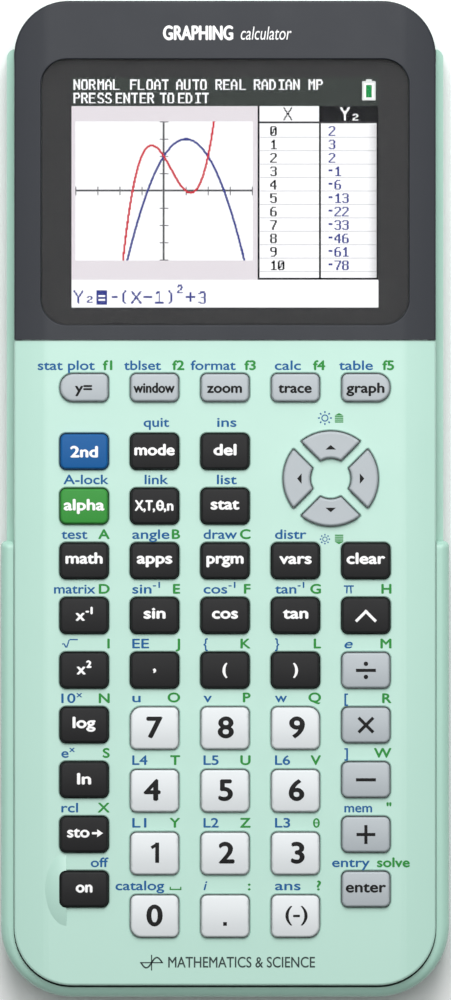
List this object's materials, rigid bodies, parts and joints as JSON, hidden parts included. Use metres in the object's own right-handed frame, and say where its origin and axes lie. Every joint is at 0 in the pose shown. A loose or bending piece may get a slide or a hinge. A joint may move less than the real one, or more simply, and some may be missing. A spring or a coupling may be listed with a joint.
{
  "type": "graphing calculator",
  "caption": "Hand-held graphing calculator with a colour display, press-in keys and an arrow pad, seated in a slide-on protective case.",
  "frame": {"origin": "middle of the footprint, on the underside of the slide case", "axes": "+X to the right of the keypad, +Y towards the display end, +Z out of the keypad face; it lies on its back"},
  "size_m": [0.0856, 0.19, 0.0174],
  "materials": {
    "shell": "satin moulded plastic, pale green",
    "case": "satin moulded plastic, pale green",
    "bezel": "fine-grained dark grey plastic",
    "lens": "clear hard-coated acrylic",
    "panel": "display panel, dark frame and lit face",
    "key_dark": "satin black-grey plastic with white print",
    "key_grey": "satin light grey plastic with black print",
    "key_light": "satin off-white plastic with black print",
    "key_blue": "satin blue plastic with white print",
    "key_green": "satin green plastic with white print",
    "rubber_sheet": "translucent grey silicone",
    "board": "green fibreglass board with soldered parts",
    "battery": "wrapped lithium pack"
  },
  "bodies": {
    "calculator": {"front_housing": "shell", "rear_housing": "shell", "battery_cover": "shell", "display_bezel": "bezel", "display_window": "lens", "lcd_module": "panel", "key_membrane": "rubber_sheet", "circuit_board": "board", "battery_pack": "battery"},
    "slide_case": {"slide_case": "case"},
    "key_mode": {"key_mode": "key_dark"},
    "key_delete": {"key_delete": "key_dark"},
    "key_variable": {"key_variable": "key_dark"},
    "key_stat": {"key_stat": "key_dark"},
    "key_math": {"key_math": "key_dark"},
    "key_apps": {"key_apps": "key_dark"},
    "key_program": {"key_program": "key_dark"},
    "key_vars": {"key_vars": "key_dark"},
    "key_clear": {"key_clear": "key_dark"},
    "key_inverse": {"key_inverse": "key_dark"},
    "key_sine": {"key_sine": "key_dark"},
    "key_cosine": {"key_cosine": "key_dark"},
    "key_tangent": {"key_tangent": "key_dark"},
    "key_power": {"key_power": "key_dark"},
    "key_square": {"key_square": "key_dark"},
    "key_comma": {"key_comma": "key_dark"},
    "key_bracket_open": {"key_bracket_open": "key_dark"},
    "key_bracket_close": {"key_bracket_close": "key_dark"},
    "key_log": {"key_log": "key_dark"},
    "key_natural_log": {"key_natural_log": "key_dark"},
    "key_store": {"key_store": "key_dark"},
    "key_on": {"key_on": "key_dark"},
    "key_divide": {"key_divide": "key_grey"},
    "key_multiply": {"key_multiply": "key_grey"},
    "key_subtract": {"key_subtract": "key_grey"},
    "key_add": {"key_add": "key_grey"},
    "key_enter": {"key_enter": "key_grey"},
    "key_right": {"key_right": "key_grey"},
    "key_up": {"key_up": "key_grey"},
    "key_left": {"key_left": "key_grey"},
    "key_down": {"key_down": "key_grey"},
    "key_y_equals": {"key_y_equals": "key_grey"},
    "key_window": {"key_window": "key_grey"},
    "key_zoom": {"key_zoom": "key_grey"},
    "key_trace": {"key_trace": "key_grey"},
    "key_graph": {"key_graph": "key_grey"},
    "key_7": {"key_7": "key_light"},
    "key_8": {"key_8": "key_light"},
    "key_9": {"key_9": "key_light"},
    "key_4": {"key_4": "key_light"},
    "key_5": {"key_5": "key_light"},
    "key_6": {"key_6": "key_light"},
    "key_1": {"key_1": "key_light"},
    "key_2": {"key_2": "key_light"},
    "key_3": {"key_3": "key_light"},
    "key_0": {"key_0": "key_light"},
    "key_point": {"key_point": "key_light"},
    "key_negative": {"key_negative": "key_light"},
    "key_second": {"key_second": "key_blue"},
    "key_alpha": {"key_alpha": "key_green"}
  },
  "joints": [
    {"name": "case_slide", "type": "slide", "parent": "calculator", "child": "slide_case", "axis": [0, -1, 0], "range_m": [0, 0.195]},
    {"name": "key_mode_press", "type": "slide", "parent": "calculator", "child": "key_mode", "axis": [0, 0, -1], "range_m": [0, 0.001], "stiffness_N_per_m": 400, "deforming": ["key_membrane"]},
    {"name": "key_delete_press", "type": "slide", "parent": "calculator", "child": "key_delete", "axis": [0, 0, -1], "range_m": [0, 0.001], "stiffness_N_per_m": 400, "deforming": ["key_membrane"]},
    {"name": "key_variable_press", "type": "slide", "parent": "calculator", "child": "key_variable", "axis": [0, 0, -1], "range_m": [0, 0.001], "stiffness_N_per_m": 400, "deforming": ["key_membrane"]},
    {"name": "key_stat_press", "type": "slide", "parent": "calculator", "child": "key_stat", "axis": [0, 0, -1], "range_m": [0, 0.001], "stiffness_N_per_m": 400, "deforming": ["key_membrane"]},
    {"name": "key_math_press", "type": "slide", "parent": "calculator", "child": "key_math", "axis": [0, 0, -1], "range_m": [0, 0.001], "stiffness_N_per_m": 400, "deforming": ["key_membrane"]},
    {"name": "key_apps_press", "type": "slide", "parent": "calculator", "child": "key_apps", "axis": [0, 0, -1], "range_m": [0, 0.001], "stiffness_N_per_m": 400, "deforming": ["key_membrane"]},
    {"name": "key_program_press", "type": "slide", "parent": "calculator", "child": "key_program", "axis": [0, 0, -1], "range_m": [0, 0.001], "stiffness_N_per_m": 400, "deforming": ["key_membrane"]},
    {"name": "key_vars_press", "type": "slide", "parent": "calculator", "child": "key_vars", "axis": [0, 0, -1], "range_m": [0, 0.001], "stiffness_N_per_m": 400, "deforming": ["key_membrane"]},
    {"name": "key_clear_press", "type": "slide", "parent": "calculator", "child": "key_clear", "axis": [0, 0, -1], "range_m": [0, 0.001], "stiffness_N_per_m": 400, "deforming": ["key_membrane"]},
    {"name": "key_inverse_press", "type": "slide", "parent": "calculator", "child": "key_inverse", "axis": [0, 0, -1], "range_m": [0, 0.001], "stiffness_N_per_m": 400, "deforming": ["key_membrane"]},
    {"name": "key_sine_press", "type": "slide", "parent": "calculator", "child": "key_sine", "axis": [0, 0, -1], "range_m": [0, 0.001], "stiffness_N_per_m": 400, "deforming": ["key_membrane"]},
    {"name": "key_cosine_press", "type": "slide", "parent": "calculator", "child": "key_cosine", "axis": [0, 0, -1], "range_m": [0, 0.001], "stiffness_N_per_m": 400, "deforming": ["key_membrane"]},
    {"name": "key_tangent_press", "type": "slide", "parent": "calculator", "child": "key_tangent", "axis": [0, 0, -1], "range_m": [0, 0.001], "stiffness_N_per_m": 400, "deforming": ["key_membrane"]},
    {"name": "key_power_press", "type": "slide", "parent": "calculator", "child": "key_power", "axis": [0, 0, -1], "range_m": [0, 0.001], "stiffness_N_per_m": 400, "deforming": ["key_membrane"]},
    {"name": "key_square_press", "type": "slide", "parent": "calculator", "child": "key_square", "axis": [0, 0, -1], "range_m": [0, 0.001], "stiffness_N_per_m": 400, "deforming": ["key_membrane"]},
    {"name": "key_comma_press", "type": "slide", "parent": "calculator", "child": "key_comma", "axis": [0, 0, -1], "range_m": [0, 0.001], "stiffness_N_per_m": 400, "deforming": ["key_membrane"]},
    {"name": "key_bracket_open_press", "type": "slide", "parent": "calculator", "child": "key_bracket_open", "axis": [0, 0, -1], "range_m": [0, 0.001], "stiffness_N_per_m": 400, "deforming": ["key_membrane"]},
    {"name": "key_bracket_close_press", "type": "slide", "parent": "calculator", "child": "key_bracket_close", "axis": [0, 0, -1], "range_m": [0, 0.001], "stiffness_N_per_m": 400, "deforming": ["key_membrane"]},
    {"name": "key_log_press", "type": "slide", "parent": "calculator", "child": "key_log", "axis": [0, 0, -1], "range_m": [0, 0.001], "stiffness_N_per_m": 400, "deforming": ["key_membrane"]},
    {"name": "key_natural_log_press", "type": "slide", "parent": "calculator", "child": "key_natural_log", "axis": [0, 0, -1], "range_m": [0, 0.001], "stiffness_N_per_m": 400, "deforming": ["key_membrane"]},
    {"name": "key_store_press", "type": "slide", "parent": "calculator", "child": "key_store", "axis": [0, 0, -1], "range_m": [0, 0.001], "stiffness_N_per_m": 400, "deforming": ["key_membrane"]},
    {"name": "key_on_press", "type": "slide", "parent": "calculator", "child": "key_on", "axis": [0, 0, -1], "range_m": [0, 0.001], "stiffness_N_per_m": 400, "deforming": ["key_membrane"]},
    {"name": "key_divide_press", "type": "slide", "parent": "calculator", "child": "key_divide", "axis": [0, 0, -1], "range_m": [0, 0.001], "stiffness_N_per_m": 400, "deforming": ["key_membrane"]},
    {"name": "key_multiply_press", "type": "slide", "parent": "calculator", "child": "key_multiply", "axis": [0, 0, -1], "range_m": [0, 0.001], "stiffness_N_per_m": 400, "deforming": ["key_membrane"]},
    {"name": "key_subtract_press", "type": "slide", "parent": "calculator", "child": "key_subtract", "axis": [0, 0, -1], "range_m": [0, 0.001], "stiffness_N_per_m": 400, "deforming": ["key_membrane"]},
    {"name": "key_add_press", "type": "slide", "parent": "calculator", "child": "key_add", "axis": [0, 0, -1], "range_m": [0, 0.001], "stiffness_N_per_m": 400, "deforming": ["key_membrane"]},
    {"name": "key_enter_press", "type": "slide", "parent": "calculator", "child": "key_enter", "axis": [0, 0, -1], "range_m": [0, 0.001], "stiffness_N_per_m": 400, "deforming": ["key_membrane"]},
    {"name": "key_right_press", "type": "slide", "parent": "calculator", "child": "key_right", "axis": [0, 0, -1], "range_m": [0, 0.001], "stiffness_N_per_m": 400, "deforming": ["key_membrane"]},
    {"name": "key_up_press", "type": "slide", "parent": "calculator", "child": "key_up", "axis": [0, 0, -1], "range_m": [0, 0.001], "stiffness_N_per_m": 400, "deforming": ["key_membrane"]},
    {"name": "key_left_press", "type": "slide", "parent": "calculator", "child": "key_left", "axis": [0, 0, -1], "range_m": [0, 0.001], "stiffness_N_per_m": 400, "deforming": ["key_membrane"]},
    {"name": "key_down_press", "type": "slide", "parent": "calculator", "child": "key_down", "axis": [0, 0, -1], "range_m": [0, 0.001], "stiffness_N_per_m": 400, "deforming": ["key_membrane"]},
    {"name": "key_y_equals_press", "type": "slide", "parent": "calculator", "child": "key_y_equals", "axis": [0, 0, -1], "range_m": [0, 0.001], "stiffness_N_per_m": 400, "deforming": ["key_membrane"]},
    {"name": "key_window_press", "type": "slide", "parent": "calculator", "child": "key_window", "axis": [0, 0, -1], "range_m": [0, 0.001], "stiffness_N_per_m": 400, "deforming": ["key_membrane"]},
    {"name": "key_zoom_press", "type": "slide", "parent": "calculator", "child": "key_zoom", "axis": [0, 0, -1], "range_m": [0, 0.001], "stiffness_N_per_m": 400, "deforming": ["key_membrane"]},
    {"name": "key_trace_press", "type": "slide", "parent": "calculator", "child": "key_trace", "axis": [0, 0, -1], "range_m": [0, 0.001], "stiffness_N_per_m": 400, "deforming": ["key_membrane"]},
    {"name": "key_graph_press", "type": "slide", "parent": "calculator", "child": "key_graph", "axis": [0, 0, -1], "range_m": [0, 0.001], "stiffness_N_per_m": 400, "deforming": ["key_membrane"]},
    {"name": "key_7_press", "type": "slide", "parent": "calculator", "child": "key_7", "axis": [0, 0, -1], "range_m": [0, 0.001], "stiffness_N_per_m": 400, "deforming": ["key_membrane"]},
    {"name": "key_8_press", "type": "slide", "parent": "calculator", "child": "key_8", "axis": [0, 0, -1], "range_m": [0, 0.001], "stiffness_N_per_m": 400, "deforming": ["key_membrane"]},
    {"name": "key_9_press", "type": "slide", "parent": "calculator", "child": "key_9", "axis": [0, 0, -1], "range_m": [0, 0.001], "stiffness_N_per_m": 400, "deforming": ["key_membrane"]},
    {"name": "key_4_press", "type": "slide", "parent": "calculator", "child": "key_4", "axis": [0, 0, -1], "range_m": [0, 0.001], "stiffness_N_per_m": 400, "deforming": ["key_membrane"]},
    {"name": "key_5_press", "type": "slide", "parent": "calculator", "child": "key_5", "axis": [0, 0, -1], "range_m": [0, 0.001], "stiffness_N_per_m": 400, "deforming": ["key_membrane"]},
    {"name": "key_6_press", "type": "slide", "parent": "calculator", "child": "key_6", "axis": [0, 0, -1], "range_m": [0, 0.001], "stiffness_N_per_m": 400, "deforming": ["key_membrane"]},
    {"name": "key_1_press", "type": "slide", "parent": "calculator", "child": "key_1", "axis": [0, 0, -1], "range_m": [0, 0.001], "stiffness_N_per_m": 400, "deforming": ["key_membrane"]},
    {"name": "key_2_press", "type": "slide", "parent": "calculator", "child": "key_2", "axis": [0, 0, -1], "range_m": [0, 0.001], "stiffness_N_per_m": 400, "deforming": ["key_membrane"]},
    {"name": "key_3_press", "type": "slide", "parent": "calculator", "child": "key_3", "axis": [0, 0, -1], "range_m": [0, 0.001], "stiffness_N_per_m": 400, "deforming": ["key_membrane"]},
    {"name": "key_0_press", "type": "slide", "parent": "calculator", "child": "key_0", "axis": [0, 0, -1], "range_m": [0, 0.001], "stiffness_N_per_m": 400, "deforming": ["key_membrane"]},
    {"name": "key_point_press", "type": "slide", "parent": "calculator", "child": "key_point", "axis": [0, 0, -1], "range_m": [0, 0.001], "stiffness_N_per_m": 400, "deforming": ["key_membrane"]},
    {"name": "key_negative_press", "type": "slide", "parent": "calculator", "child": "key_negative", "axis": [0, 0, -1], "range_m": [0, 0.001], "stiffness_N_per_m": 400, "deforming": ["key_membrane"]},
    {"name": "key_second_press", "type": "slide", "parent": "calculator", "child": "key_second", "axis": [0, 0, -1], "range_m": [0, 0.001], "stiffness_N_per_m": 400, "deforming": ["key_membrane"]},
    {"name": "key_alpha_press", "type": "slide", "parent": "calculator", "child": "key_alpha", "axis": [0, 0, -1], "range_m": [0, 0.001], "stiffness_N_per_m": 400, "deforming": ["key_membrane"]}
  ]
}
